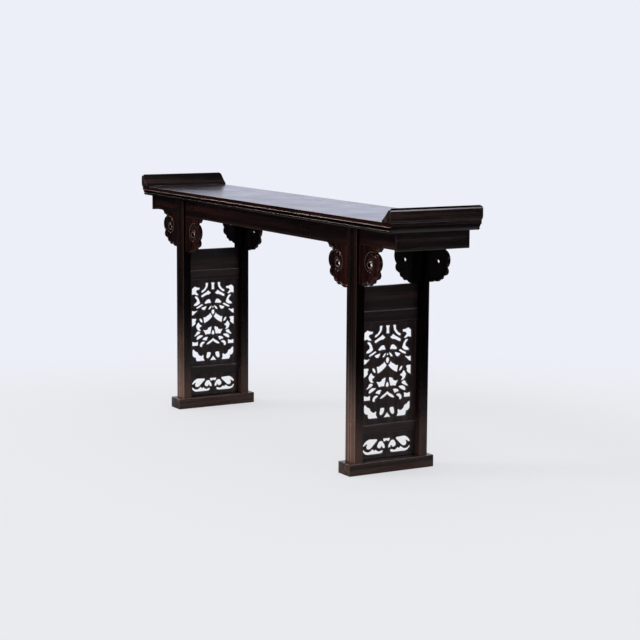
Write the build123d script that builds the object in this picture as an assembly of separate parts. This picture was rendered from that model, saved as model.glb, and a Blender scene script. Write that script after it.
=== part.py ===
from build123d import *
import os

os.makedirs("parts", exist_ok=True)

# Altar table with everted ends, pierced side carvings and shoe feet.
# Millimetres. +X is the right end, the front faces -Y, +Z is up, the origin is the
# middle of the table on the floor.

# ---- overall size ----------------------------------------------------------------
table_height = 900          # floor to the tips of the everted ends
half_length = 926           # middle to the outer band of the end frame members
half_depth = 172            # middle to the outer band of the long frame members

# ---- everted flanges -------------------------------------------------------------
flange_height = 46
flange_width = 48           # width of the foot that stands on the frame
flange_proud = 3            # the upright flank stands this far out of the frame band
flange_neck = 3             # upright neck above the frame
flange_turn = 8             # height of the part that is turned under, above the neck
flange_brow = 13            # height of the rounded brow below the tip
flange_lean = 3.5           # the brow leans in by this much
flange_tip_flat = 3         # from the band in to the inner edge of the tip
flange_foot = 4             # small bevel where the inner face meets the frame
flange_inner_bow = 2        # hollow of the inner face
flange_key_thick = 10
flange_key_deep = 8
flange_key_stop = 52        # the key stops this far short of the front and the back

# ---- top frame -------------------------------------------------------------------
frame_thick = 34
frame_width = 80            # width of every frame member, seen from above
ovolo_height = 23           # round moulding between the underside and the upright band
ovolo_bow = 3               # how far the round stands out of its straight line
band_step = 2               # the band stands this far out of the top of the round
undercut = 12               # the underside starts this far in from the band
corner_tenon_inset = 16     # from the inner edge of the long member to its corner tenon
corner_tenon_width = 20
corner_tenon_thick = 10
corner_tenon_stop = 26      # from the end of the table to the end of the tenon

# ---- floating panel and its battens ----------------------------------------------
panel_thick = 16
panel_tongue_thick = 8
panel_tongue_long = 8
batten_spacing = 440
batten_width = 46
batten_depth = 16
batten_key_deep = 5         # dovetail key let into the panel
batten_key_flare = 3
batten_key_stop = 12        # the key stops this far short of the long members
batten_tenon_long = 10
batten_tenon_width = 30
batten_tenon_thick = 9
batten_shoulder = 2         # below the tenon

# ---- aprons ----------------------------------------------------------------------
apron_height = 58
apron_thick = 10
front_apron_inset = 38      # from the band of the long member to the apron's face
end_apron_inset = 18        # from the band of the end member to the apron's face
end_apron_overrun = 5       # the end aprons lap the long ones and stand this far in front
apron_bevel = 2.5           # bevel along the lower outer arris of the end aprons

# ---- legs ------------------------------------------------------------------------
leg_inset = 280             # from the end of the table to the middle of the leg
leg_width = 61
leg_depth = 34
leg_proud = 10.5            # the leg's bead stands this far in front of the apron
leg_round = 5               # radius of the leg's front edges
edge_bead_width = 9.5       # flat bead along each front edge, set off by a vee
edge_vee_width = 2.4
edge_vee_depth = 1.2
twin_bead_width = 11.5
twin_bead_proud = 1.5
twin_bead_gap = 2           # between the two beads
twin_bead_vee = 1           # depth of the vee between them
leg_tenon_width = 30
leg_tenon_long = 14
leg_tenon_shoulder = 2      # in front of the leg's top tenon and behind it
foot_tenon_thick = 16
foot_tenon_long = 20

# ---- shoes -----------------------------------------------------------------------
shoe_width = 72
shoe_overrun = 20.5         # the shoe runs this far out in front of the leg
shoe_height = 40
shoe_ease = 2

# ---- spandrels -------------------------------------------------------------------
spandrel_reach = 172        # middle of the leg to the root of the small cusp
spandrel_drop = 140         # below the apron
spandrel_tongue = 8

# ---- side frames between the legs ------------------------------------------------
board_height = 81
board_thick = 14
upper_rail_height = 39
upper_rail_thick = 22
lower_rail_top = 160
lower_rail_height = 33
lower_rail_thick = 20
rail_bevel = 3
rail_tenon_long = 14
rail_tenon_thick = 12
rail_shoulder = 5           # above the rail's tenon and below it
carving_thick = 8
side_tongue = 6             # boards and carvings run this far into the legs
rail_groove = 5             # and this far into the rails and the shoe

# ---- clearances ------------------------------------------------------------------
tenon_end_room = 1          # every mortise is this much deeper than its tenon
panel_side_room = 0.5       # timber movement room at the edges of boards and panels

# ---- places that follow ----------------------------------------------------------
frame_top = table_height - flange_height
frame_bottom = frame_top - frame_thick
apron_bottom = frame_bottom - apron_height
inner_half_length = half_length - frame_width
inner_half_depth = half_depth - frame_width
apron_face = half_depth - front_apron_inset
apron_back = apron_face - apron_thick
end_apron_face = half_length - end_apron_inset
end_apron_back = end_apron_face - apron_thick
leg_spacing = half_length - leg_inset
leg_face = apron_face + leg_proud
leg_back = leg_face - leg_depth
leg_half = leg_width / 2
board_top = apron_bottom - spandrel_drop
upper_rail_top = board_top - board_height
upper_rail_bottom = upper_rail_top - upper_rail_height
lower_rail_bottom = lower_rail_top - lower_rail_height


# ---- small helpers ---------------------------------------------------------------
quarter_round = 1 - 0.5**0.5  # bow of a quarter circle, as a share of its radius


def block(x0, x1, y0, y1, z0, z1):
    """A rectangular piece given by its six limits."""
    return Pos((x0 + x1) / 2, (y0 + y1) / 2, (z0 + z1) / 2) * Box(x1 - x0, y1 - y0, z1 - z0)


def bowed(start, end, bow):
    """An arc from start to end whose middle stands bow to the left of the straight line."""
    across = end[0] - start[0]
    up = end[1] - start[1]
    length = (across**2 + up**2) ** 0.5
    middle_x = (start[0] + end[0]) / 2 - bow * up / length
    middle_y = (start[1] + end[1]) / 2 + bow * across / length
    return [start, (middle_x, middle_y), end]


def outline(*runs):
    """A closed face. A run of three points is an arc, any other is a chain of straight cuts."""
    edges = []
    for run in runs:
        if len(run) == 3:
            edges.append(Edge.make_three_point_arc(*run))
        else:
            edges.extend(Edge.make_line(start, end) for start, end in zip(run, run[1:]))
    return Face(Wire(edges))


def polygon(*corners):
    """A closed face with straight sides."""
    return outline(*zip(corners, corners[1:] + corners[:1]))


def along_x(face, x0, x1):
    """A face drawn in (y, z) drawn out between two lengthwise stations."""
    return extrude(Plane.YZ.offset(x0) * face, x1 - x0, dir=(1, 0, 0))


def along_y(face, y0, y1):
    """A face drawn in (x, z) drawn out between two crosswise stations."""
    plane = Plane(origin=(0, y0, 0), x_dir=(1, 0, 0), z_dir=(0, -1, 0))
    return extrude(plane * face, y1 - y0, dir=(0, 1, 0))


def along_z(face, z0, z1):
    """A face drawn in (x, y) drawn out between two heights."""
    return extrude(Plane.XY.offset(z0) * face, z1 - z0, dir=(0, 0, 1))


def left_of(piece):
    return mirror(piece, about=Plane.YZ)


def back_of(piece):
    return mirror(piece, about=Plane.XZ)


def save(piece, name):
    export_step(piece, "parts/" + name + ".step")


# ---- moulded edge shared by the four frame members -------------------------------
def frame_section(reach, inner):
    """Cross-section of a frame member: round moulding, step and band out to reach."""
    under = (reach - undercut, frame_bottom)
    step = (reach - band_step, frame_bottom + ovolo_height)
    band_low = (reach, frame_bottom + ovolo_height)
    return outline(
        [(inner, frame_bottom), under],
        bowed(under, step, -ovolo_bow),
        [step, band_low],
        [band_low, (reach, frame_top)],
        [(reach, frame_top), (inner, frame_top)],
        [(inner, frame_top), (inner, frame_bottom)],
    )


# Mitred plan of one long member (front) and one end member (right).
front_right = (half_length, -half_depth)
back_right = (half_length, half_depth)
inner_front_right = (inner_half_length, -inner_half_depth)
inner_back_right = (inner_half_length, inner_half_depth)
front_left = (-half_length, -half_depth)
inner_front_left = (-inner_half_length, -inner_half_depth)
long_plan = polygon(front_left, front_right, inner_front_right, inner_front_left)
end_plan = polygon(front_right, back_right, inner_back_right, inner_front_right)

panel_bottom = frame_top - panel_thick
tongue_top = panel_bottom + panel_tongue_thick


def panel_edge(reach):
    """The panel's tongue, or with more reach the groove that holds it."""
    return block(
        -inner_half_length - reach, inner_half_length + reach,
        -inner_half_depth - reach, inner_half_depth + reach,
        panel_bottom, tongue_top,
    )


def corner_tenon(room):
    """Runs lengthwise out of the long member, through the mitre."""
    inner_side = -inner_half_depth - corner_tenon_inset
    return block(
        inner_half_length, half_length - corner_tenon_stop + room,
        inner_side - corner_tenon_width, inner_side,
        panel_bottom - corner_tenon_thick, panel_bottom,
    )


def leg_top_tenon(room):
    return block(
        leg_spacing - leg_tenon_width / 2, leg_spacing + leg_tenon_width / 2,
        -apron_back + leg_tenon_shoulder, -leg_back - leg_tenon_shoulder,
        frame_bottom, frame_bottom + leg_tenon_long + room,
    )


batten_bottom = panel_bottom - batten_depth
batten_stations = [-batten_spacing, 0, batten_spacing]


def batten_tenon(x, room):
    reach = inner_half_depth + batten_tenon_long + room
    low = batten_bottom + batten_shoulder
    return block(
        x - batten_tenon_width / 2, x + batten_tenon_width / 2,
        -reach, reach, low, low + batten_tenon_thick,
    )


# ---- top: frame, panel, battens --------------------------------------------------
front_section = mirror(frame_section(half_depth, inner_half_depth), about=Plane.YZ)
frame_front = along_x(front_section, -half_length, half_length)
frame_front &= along_z(long_plan, frame_bottom, frame_top)
frame_front += corner_tenon(0) + left_of(corner_tenon(0))
frame_front -= panel_edge(panel_tongue_long + tenon_end_room)
frame_front -= leg_top_tenon(tenon_end_room) + left_of(leg_top_tenon(tenon_end_room))
for station in batten_stations:
    frame_front -= batten_tenon(station, tenon_end_room)
save(frame_front, "frame_front")
save(back_of(frame_front), "frame_back")


def flange_key(room):
    middle = half_length - flange_width / 2
    half_run = half_depth - flange_key_stop
    return block(
        middle - flange_key_thick / 2, middle + flange_key_thick / 2, -half_run, half_run,
        frame_top - flange_key_deep - room, frame_top,
    )


end_section = frame_section(half_length, inner_half_length)
frame_right = along_y(end_section, -half_depth, half_depth)
frame_right &= along_z(end_plan, frame_bottom, frame_top)
frame_right -= panel_edge(panel_tongue_long + tenon_end_room)
frame_right -= corner_tenon(tenon_end_room) + back_of(corner_tenon(tenon_end_room))
frame_right -= flange_key(tenon_end_room)
save(frame_right, "frame_right")
save(left_of(frame_right), "frame_left")


def batten_key(x):
    """Dovetail along the batten, wider at its top."""
    foot = batten_width / 2 - batten_key_flare
    high = panel_bottom + batten_key_deep
    half_run = inner_half_depth - batten_key_stop
    face = polygon(
        (x - foot, panel_bottom), (x + foot, panel_bottom),
        (x + batten_width / 2, high), (x - batten_width / 2, high),
    )
    return along_y(face, -half_run, half_run)


top_panel = block(
    -inner_half_length, inner_half_length, -inner_half_depth, inner_half_depth,
    tongue_top, frame_top,
)
top_panel += panel_edge(panel_tongue_long)
for station in batten_stations:
    top_panel -= batten_key(station)
save(top_panel, "top_panel")

for station, name in zip(batten_stations, ["batten_left", "batten_middle", "batten_right"]):
    batten = block(
        station - batten_width / 2, station + batten_width / 2,
        -inner_half_depth, inner_half_depth, batten_bottom, panel_bottom,
    )
    batten += batten_key(station)
    batten += batten_tenon(station, 0)
    save(batten, name)


# ---- everted flanges -------------------------------------------------------------
def flank(reach):
    """Outer flank of a flange, foot to tip: neck, turned-under part, upright side, brow.

    An arc whose end is upright and which leans by w bows by a quarter of w.
    """
    side = reach + flange_proud
    neck = (reach, frame_top + flange_neck)
    side_low = (side, frame_top + flange_neck + flange_turn)
    side_high = (side, table_height - flange_brow)
    tip = (side - flange_lean, table_height)
    return [
        [(reach, frame_top), neck],
        bowed(neck, side_low, -flange_proud / 4),
        [side_low, side_high],
        bowed(side_high, tip, -flange_lean / 4),
    ]


foot_x = half_length - flange_width
foot_low = (foot_x, frame_top)
foot_edge = (foot_x, frame_top + flange_foot)
foot_high = (foot_x + flange_foot, frame_top + 2 * flange_foot)
tip_inner = (half_length - flange_tip_flat, table_height)
flange_side = outline(
    *flank(half_length),
    [flank(half_length)[-1][-1], tip_inner],
    bowed(tip_inner, foot_high, flange_inner_bow),
    [foot_high, foot_edge],
    [foot_edge, foot_low],
    [foot_low, (half_length, frame_top)],
)
back_flank = flank(half_depth)
front_flank = [[(-y, z) for y, z in run] for run in back_flank]
flange_front_view = outline(
    *back_flank,
    [back_flank[-1][-1], front_flank[-1][-1]],
    *front_flank,
    [front_flank[0][0], back_flank[0][0]],
)
flange_space = 2 * flange_proud
flange_right = along_y(flange_side, -half_depth - flange_space, half_depth + flange_space)
flange_right &= along_x(flange_front_view, foot_x, half_length + flange_space)
flange_right += flange_key(0)
save(flange_right, "flange_right")
save(left_of(flange_right), "flange_left")

# ---- aprons ----------------------------------------------------------------------
apron_front = block(
    -end_apron_back, end_apron_back, -apron_face, -apron_back, apron_bottom, frame_bottom
)
save(apron_front, "apron_front")
save(back_of(apron_front), "apron_back")

apron_right_section = polygon(
    (end_apron_back, apron_bottom), (end_apron_face - apron_bevel, apron_bottom),
    (end_apron_face, apron_bottom + apron_bevel), (end_apron_face, frame_bottom),
    (end_apron_back, frame_bottom),
)
end_apron_run = apron_face + end_apron_overrun
apron_right = along_y(apron_right_section, -end_apron_run, end_apron_run)
save(apron_right, "apron_right")
save(left_of(apron_right), "apron_left")

# ---- spandrels -------------------------------------------------------------------
# Drawn beside a leg at x = 0, as the distance out from the leg's middle and the height
# above the apron's lower edge; the drawing is stretched to the real reach and drop.
cloud_edge = [
    [(172, 0), (163, -7), (157, -15), (146, -15), (136, -21)],
    [(136, -21), (163, -50), (149, -82)],
    [(149, -82), (155, -97), (143, -109)],
    [(143, -109), (128, -114)],
    [(128, -114), (123, -124), (112, -126)],
    [(112, -126), (98, -135), (83, -131)],
    [(83, -131), (66, -140), (46, -138)],
]
cloud_eye = [
    [(86, -64), (92, -57), (108, -57), (116, -64), (109, -71.5), (93, -71.5), (86, -64)],
]

drawn_reach = cloud_edge[0][0][0]
drawn_drop = -min(rise for run in cloud_edge for out, rise in run)


def spandrel_point(point, side):
    """A drawn point beside the right leg; side is +1 outside the legs, -1 inside."""
    out, rise = point
    x = leg_spacing + side * out * spandrel_reach / drawn_reach
    return (x, apron_bottom + rise * spandrel_drop / drawn_drop)


def spandrel_face(side):
    rim = [[spandrel_point(point, side) for point in run] for run in cloud_edge]
    root_x = leg_spacing + side * (leg_half - spandrel_tongue)
    low_end = rim[-1][-1]
    root_low = (root_x, low_end[1])
    root_high = (root_x, apron_bottom)
    return outline(*rim, [low_end, root_low], [root_low, root_high], [root_high, rim[0][0]])


def spandrel(side):
    """Cloud-shaped spandrel in front of the right leg."""
    eye = outline(*[[spandrel_point(point, side) for point in run] for run in cloud_eye])
    body = along_y(spandrel_face(side), -apron_face, -apron_back)
    return body - along_y(eye, -apron_face, -apron_back)


for side, where in [(1, "outer"), (-1, "inner")]:
    piece = spandrel(side)
    save(piece, "spandrel_front_right_" + where)
    save(left_of(piece), "spandrel_front_left_" + where)
    save(back_of(piece), "spandrel_back_right_" + where)
    save(left_of(back_of(piece)), "spandrel_back_left_" + where)


# ---- legs ------------------------------------------------------------------------
def side_piece(half_thick, half_run, z0, z1):
    """A slab between the right pair of legs, centred on them."""
    return block(leg_spacing - half_thick, leg_spacing + half_thick, -half_run, half_run, z0, z1)


def rail_tenons(bottom, top, room):
    return side_piece(
        rail_tenon_thick / 2, leg_back + rail_tenon_long + room,
        bottom + rail_shoulder, top - rail_shoulder,
    )


leg_flat = leg_face - twin_bead_proud
leg_middle = (leg_flat + leg_back) / 2
bead_near = twin_bead_gap / 2
bead_far = bead_near + twin_bead_width
vee_far = leg_half - edge_bead_width
vee_near = vee_far - edge_vee_width
vee_middle = (vee_near + vee_far) / 2
half_outline = [
    [(leg_half, -leg_back), (leg_half, -leg_flat + leg_round)],
    bowed(
        (leg_half, -leg_flat + leg_round), (leg_half - leg_round, -leg_flat),
        leg_round * quarter_round,
    ),
    [(leg_half - leg_round, -leg_flat), (vee_far, -leg_flat),
     (vee_middle, -leg_flat + edge_vee_depth), (vee_near, -leg_flat), (bead_far, -leg_flat)],
    bowed((bead_far, -leg_flat), (bead_near, -leg_flat), twin_bead_proud),
    [(bead_near, -leg_flat), (0, -leg_flat + twin_bead_vee)],
]
leg_outline = outline(
    *half_outline,
    *[[(-x, y) for x, y in run] for run in half_outline],
    [(-leg_half, -leg_back), (leg_half, -leg_back)],
)


def foot_tenon(room):
    return block(
        leg_spacing - leg_tenon_width / 2, leg_spacing + leg_tenon_width / 2,
        -leg_middle - foot_tenon_thick / 2, -leg_middle + foot_tenon_thick / 2,
        shoe_height - foot_tenon_long - room, shoe_height,
    )


def bridle(half_run, low, high):
    """Slot through the leg in the plane of the apron and the spandrels."""
    return block(
        leg_spacing - half_run, leg_spacing + half_run, -apron_face, -apron_back, low, high,
    )


spandrel_low = spandrel_point(cloud_edge[-1][-1], 1)[1]
leg = Pos(leg_spacing, 0, 0) * along_z(leg_outline, shoe_height, frame_bottom)
leg += leg_top_tenon(0) + foot_tenon(0)
leg -= bridle(leg_width, apron_bottom, frame_bottom)
spandrel_slot = bridle(leg_width, spandrel_low, apron_bottom)
spandrel_slot -= bridle(leg_half - spandrel_tongue, spandrel_low, apron_bottom)
leg -= spandrel_slot
leg -= rail_tenons(upper_rail_bottom, upper_rail_top, tenon_end_room)
leg -= rail_tenons(lower_rail_bottom, lower_rail_top, tenon_end_room)
leg_groove_run = leg_back + side_tongue + panel_side_room
leg -= side_piece(board_thick / 2, leg_groove_run, upper_rail_top, board_top)
leg -= side_piece(carving_thick / 2, leg_groove_run, lower_rail_top, upper_rail_bottom)
leg -= side_piece(carving_thick / 2, leg_groove_run, shoe_height, lower_rail_bottom)
save(leg, "leg_front_right")
save(left_of(leg), "leg_front_left")
save(back_of(leg), "leg_back_right")
save(left_of(back_of(leg)), "leg_back_left")

# ---- shoes -----------------------------------------------------------------------
shoe = block(
    leg_spacing - shoe_width / 2, leg_spacing + shoe_width / 2,
    -leg_face - shoe_overrun, leg_face + shoe_overrun, 0, shoe_height,
)
shoe = chamfer(shoe.faces().sort_by(Axis.Z)[-1].edges(), shoe_ease)
shoe -= foot_tenon(tenon_end_room) + back_of(foot_tenon(tenon_end_room))
shoe -= side_piece(carving_thick / 2, leg_back, shoe_height - rail_groove, shoe_height)
save(shoe, "shoe_right")
save(left_of(shoe), "shoe_left")


# ---- rails and board between the legs --------------------------------------------
def rail(bottom, top, thick):
    half = thick / 2
    section = polygon(
        (leg_spacing - half + rail_bevel, bottom), (leg_spacing + half - rail_bevel, bottom),
        (leg_spacing + half, bottom + rail_bevel), (leg_spacing + half, top - rail_bevel),
        (leg_spacing + half - rail_bevel, top), (leg_spacing - half + rail_bevel, top),
        (leg_spacing - half, top - rail_bevel), (leg_spacing - half, bottom + rail_bevel),
    )
    return along_y(section, -leg_back, leg_back) + rail_tenons(bottom, top, 0)


upper_rail = rail(upper_rail_bottom, upper_rail_top, upper_rail_thick)
upper_rail -= side_piece(
    board_thick / 2, leg_back, upper_rail_top - rail_groove, upper_rail_top
)
upper_rail -= side_piece(
    carving_thick / 2, leg_back, upper_rail_bottom,
    upper_rail_bottom + rail_groove + panel_side_room,
)
save(upper_rail, "upper_rail_right")
save(left_of(upper_rail), "upper_rail_left")

lower_rail = rail(lower_rail_bottom, lower_rail_top, lower_rail_thick)
lower_rail -= side_piece(
    carving_thick / 2, leg_back, lower_rail_top - rail_groove, lower_rail_top
)
lower_rail -= side_piece(
    carving_thick / 2, leg_back, lower_rail_bottom,
    lower_rail_bottom + rail_groove + panel_side_room,
)
save(lower_rail, "lower_rail_right")
save(left_of(lower_rail), "lower_rail_left")


def edged_slab(thick, bottom, top, sink, rise):
    """A slab tongued into the legs, with tongues of sink below and rise above."""
    slab = side_piece(thick / 2, leg_back + side_tongue, bottom, top)
    slab += side_piece(thick / 2, leg_back, bottom - sink, top + rise)
    return slab


side_board = edged_slab(board_thick, upper_rail_top, board_top, rail_groove, 0)
save(side_board, "side_board_right")
save(left_of(side_board), "side_board_left")

# ---- pierced carvings ------------------------------------------------------------
# Openings of the tall carving, drawn as (distance from the middle, height above the
# lower rail) and stretched to the real carving; a mirrored one stands on both sides.
tall_drawn = [(0, 0), (110.5, 342)]  # lower middle and upper corner of the drawing

tall_mirrored_openings = [
    # crescent beside the top flare
    [[(20.2, 327.2), (32, 327.2), (32.4, 313.5), (40.5, 302), (50.8, 296), (51.2, 291.2),
      (44.5, 290.1), (32, 299), (23, 311), (20.2, 327.2)]],
    # corner leaf
    [[(58, 303), (57.3, 309.5), (69, 310.7), (80, 315.3), (91.4, 306.5), (92.6, 282.6),
      (81, 285.2), (70, 280.3), (62.5, 281.6), (69.8, 289.8), (73.8, 295.5), (69, 300.8),
      (58, 303)]],
    # forked slot
    [[(8.6, 287.8), (15, 291.8), (20.8, 298.4), (27, 292.2), (38, 286.2), (51.5, 278.2),
      (51, 271.8), (44, 271.9), (34, 277.2), (25, 280.8), (17, 281), (8.6, 287.8)]],
    # dome
    [[(7.6, 247.2), (12.4, 260), (20, 262.6), (28.5, 258.5), (37.6, 248.4),
      (32.5, 244.4), (22, 246.7), (7.6, 247.2)]],
    # outer hook
    [[(77, 239.4), (65, 242), (56, 250)],
     [(56, 250), (61, 264.5), (67.5, 274), (77.8, 277.4), (79.8, 273.2), (70.4, 262),
      (71.3, 253.5), (82, 245.8), (84.6, 239.9), (77, 239.4)]],
    # slanting slot
    [[(43, 240.6), (46.6, 244.2), (52.5, 242.6), (72.6, 232), (72.4, 227.6), (67, 227.6),
      (55, 233), (43, 240.6)]],
    # dart
    [[(51, 229.4), (48, 224.6), (35, 221.5)],
     [(35, 221.5), (30, 227.5), (27, 236.6), (51, 229.4)]],
    # seed beside the middle
    [[(4.6, 237.6), (13.8, 232.6), (20.8, 223.8), (17.5, 221.3), (12.2, 222.6),
      (7.2, 229.5), (4.6, 237.6)]],
    # tee at the edge
    [[(66.5, 220.4), (74, 218.8), (80.5, 217), (92.2, 219.6), (92.4, 201), (83, 204.8),
      (78.5, 209.6), (66.5, 220.4)]],
    # big slanting leaf
    [[(38.6, 168), (28, 172.5), (2.6, 194)],
     [(2.6, 194), (8.2, 200), (12.5, 208.5), (17.5, 200.6), (26, 196.5), (33, 191.2),
      (42.6, 191.2), (38.6, 168)]],
    # slit
    [[(45, 174.2), (48.5, 182.5), (53.5, 187.6), (59, 186.8), (59.4, 183), (55.5, 176),
      (51.5, 172.4), (46.5, 171.8), (45, 174.2)]],
    # blade at the edge
    [[(71.8, 185.2), (78, 188.3), (92.4, 188.3), (92.6, 156.4), (82, 162.8), (75.4, 169),
      (76.4, 177), (71.8, 185.2)]],
    # ess
    [[(63.6, 173), (69, 167.5), (74.4, 158), (72.5, 151.5), (69.8, 146), (63.5, 139.6),
      (52, 139.4), (58.5, 146.5), (57.4, 152), (51, 155.8), (49, 158.8), (56.5, 162.8),
      (60.3, 169), (63.6, 173)]],
    # wing
    [[(5.4, 149.5), (8.5, 153.6), (14, 150.8), (21.4, 148.2), (24.6, 141.6), (32, 138.8),
      (43.4, 141.2), (37, 130.8), (33, 121.6), (24, 124.2), (11.4, 123.6), (5.4, 149.5)]],
    # lower leaf
    [[(55, 131), (60, 135.8), (71.8, 134.8)],
     [(71.8, 134.8), (75, 127.5), (82, 119.6), (79, 117.6), (70, 121.6), (61, 126),
      (55, 131)]],
    # long leaf
    [[(43.6, 118), (48, 120.8), (61, 120.8), (69.5, 115.5), (73, 108), (72, 104.2),
      (66, 104.2), (54, 110.2), (43.6, 118)]],
    # wedge
    [[(21.6, 110.8), (32, 112.4), (45.8, 105.2)],
     [(45.8, 105.2), (44.6, 101.6), (38.5, 101.2), (33.5, 98.6), (28, 98), (25.5, 104.5),
      (21.6, 110.8)]],
    # curl
    [[(46, 94.6), (55.6, 88.5), (58, 78.5)],
     [(58, 78.5), (54, 74.2), (47, 75.2), (47.4, 81.5), (43, 85.4), (34.6, 91.2),
      (38.5, 94.6), (46, 94.6)]],
    # bar at the edge
    [[(65.4, 96.8), (78, 92.8), (91, 96.8), (91, 80.8), (66, 80.8), (65.4, 96.8)]],
    # stepped scroll in the lower corner
    [[(90.2, 45), (85.5, 37), (75.5, 34)],
     [(75.5, 34), (75.6, 26), (71.5, 18.8), (37, 18.8), (42, 29), (41, 39.6),
      (44.5, 42.2), (50, 37.8), (57, 38.6), (65, 46.4), (65.4, 51), (69, 54.2),
      (77, 57.4), (82, 63.6), (87, 67), (90.4, 62), (90.2, 45)]],
    # drop
    [[(20, 27.6), (12.5, 36), (10, 49)],
     [(10, 49), (15, 51.6), (26.4, 50.8), (30, 33), (27, 27.2), (20, 27.6)]],
]
tall_middle_openings = [
    # flare at the top
    [[(8, 327.2), (5.3, 315.5), (6.6, 300.8), (-6.6, 300.8), (-5.3, 315.5), (-8, 327.2),
      (8, 327.2)]],
    # small diamond
    [[(-4.2, 230.6), (0, 235.2), (4.2, 230.6), (0, 226), (-4.2, 230.6)]],
    # teardrop
    [[(0, 220.8), (5, 218.5), (7.2, 211.5), (4.5, 203), (0, 201), (-4.5, 203),
      (-7.2, 211.5), (-5, 218.5), (0, 220.8)]],
    # pip
    [[(0, 139.5), (5.2, 132.5), (6.8, 126), (4, 121.6), (0, 120.8), (-4, 121.6),
      (-6.8, 126), (-5.2, 132.5), (0, 139.5)]],
    # chevron
    [[(0, 106.4), (9, 99.4), (21, 92.6), (29.2, 84.6), (25, 82.4), (16, 85), (6, 90.8),
      (0, 96.2), (-6, 90.8), (-16, 85), (-25, 82.4), (-29.2, 84.6), (-21, 92.6),
      (-9, 99.4), (0, 106.4)]],
    # peak at the bottom
    [[(0, 36.2), (6, 27.5), (13.8, 18.8), (-13.8, 18.8), (-6, 27.5), (0, 36.2)]],
]

# Openings of the low carving, height above the shoe.
low_drawn = [(0, 0), (110.5, 87)]
low_mirrored_openings = [
    # arch
    [[(13, 53.4), (24, 59.4), (34.5, 50.5)],
     [(34.5, 50.5), (37, 41.5), (31.5, 36.2)],
     [(31.5, 36.2), (26.5, 34.6), (22.5, 36.6), (18.6, 41.6), (15.2, 35.6), (10, 33.8),
      (5.6, 35), (6.8, 44), (13, 53.4)]],
    # fin
    [[(68, 68.8), (84, 61), (93.5, 49)],
     [(93.5, 49), (90, 46.4), (84, 49.8), (78.5, 53.4), (75.6, 51.6)],
     [(75.6, 51.6), (79.4, 43), (71.8, 35.5)],
     [(71.8, 35.5), (64, 36), (56, 42.5), (35.8, 62.6), (37.5, 67), (44, 67.4),
      (68, 68.8)]],
    # wave along the bottom
    [[(62, 29.8), (74, 25.6), (88.5, 34.4)],
     [(88.5, 34.4), (93.5, 34.6), (92.5, 29), (84, 20), (74, 17.2), (28, 17.4),
      (17.5, 18.6), (13.4, 24.6), (16, 27.8), (21, 27.2), (30, 24), (38.5, 28),
      (42, 32.8), (47.5, 29.2), (50, 29.2), (51.5, 32.2), (55.5, 34.8), (62, 29.8)]],
]
low_middle_openings = [
    # double drop under the lower rail
    [[(-14.2, 66.8), (14.2, 66.8), (12.6, 58.6), (6, 55.4), (2.6, 58.6), (0, 58.8),
      (-2.6, 58.6), (-6, 55.4), (-12.6, 58.6), (-14.2, 66.8)]],
]


def pierce(slab, openings, side, bottom, across, up):
    """Cut a list of drawn openings through a slab; side is -1 for the mirrored ones."""
    for runs in openings:
        placed = [[(side * y * across, bottom + z * up) for y, z in run] for run in runs]
        slab -= along_x(outline(*placed), leg_spacing - carving_thick, leg_spacing + carving_thick)
    return slab


def carving(bottom, top, drawn, mirrored, middle):
    slab = edged_slab(carving_thick, bottom, top, rail_groove, rail_groove)
    drawn_half_width, drawn_height = drawn[1]
    across = leg_back / drawn_half_width
    up = (top - bottom) / drawn_height
    slab = pierce(slab, mirrored, 1, bottom, across, up)
    slab = pierce(slab, mirrored, -1, bottom, across, up)
    return pierce(slab, middle, 1, bottom, across, up)


tall_carving = carving(
    lower_rail_top, upper_rail_bottom, tall_drawn, tall_mirrored_openings, tall_middle_openings
)
save(tall_carving, "tall_carving_right")
save(left_of(tall_carving), "tall_carving_left")

low_carving = carving(
    shoe_height, lower_rail_bottom, low_drawn, low_mirrored_openings, low_middle_openings
)
save(low_carving, "low_carving_right")
save(left_of(low_carving), "low_carving_left")
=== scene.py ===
# %% [markdown]
# # A Chinese altar table in dark, polished hardwood
# The table is narrow and long, with ends that turn up like the ends of a scroll. Two pairs of legs
# stand well in from the ends, each pair on a shoe, with pierced carvings between them. This lesson
# dresses the imported CAD model: every piece of wood gets its eased edges, mouldings and carving, and a
# finish that is worked out from what the timber is and how it was polished, with some highlights,
# reflections and shade painted into it.

# %% Load the imported model
import math

import bpy
import numpy as np
from mathutils import Matrix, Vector
from mathutils.geometry import delaunay_2d_cdt


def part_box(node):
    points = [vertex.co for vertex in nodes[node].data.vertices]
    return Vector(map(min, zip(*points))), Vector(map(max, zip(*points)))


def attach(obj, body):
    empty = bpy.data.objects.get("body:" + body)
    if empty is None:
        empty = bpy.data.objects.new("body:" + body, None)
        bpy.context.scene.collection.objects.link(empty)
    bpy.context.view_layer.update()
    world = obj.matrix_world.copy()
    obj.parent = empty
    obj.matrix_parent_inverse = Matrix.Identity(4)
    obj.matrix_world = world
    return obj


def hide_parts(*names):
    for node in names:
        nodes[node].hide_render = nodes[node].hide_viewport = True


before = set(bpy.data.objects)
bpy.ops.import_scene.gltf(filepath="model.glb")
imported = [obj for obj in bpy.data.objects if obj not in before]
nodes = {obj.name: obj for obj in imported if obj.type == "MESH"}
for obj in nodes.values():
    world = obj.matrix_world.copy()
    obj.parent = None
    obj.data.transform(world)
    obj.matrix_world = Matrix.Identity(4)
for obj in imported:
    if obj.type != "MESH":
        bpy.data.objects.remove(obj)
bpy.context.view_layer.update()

# %% [markdown]
# ## Units, colours and helpers for nodes
# A joiner thinks in millimetres, so the shapes below are drawn in millimetres and turned to metres in
# one place, where a mesh is made. Colours are written as the hex values that a screen shows; Blender
# mixes light in linear values, so one function does that change. The studio, the floor and the wood
# are built from a few kinds of shader nodes, each with a helper here.

# %% Units, colours and helpers
MM = 0.001


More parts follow.
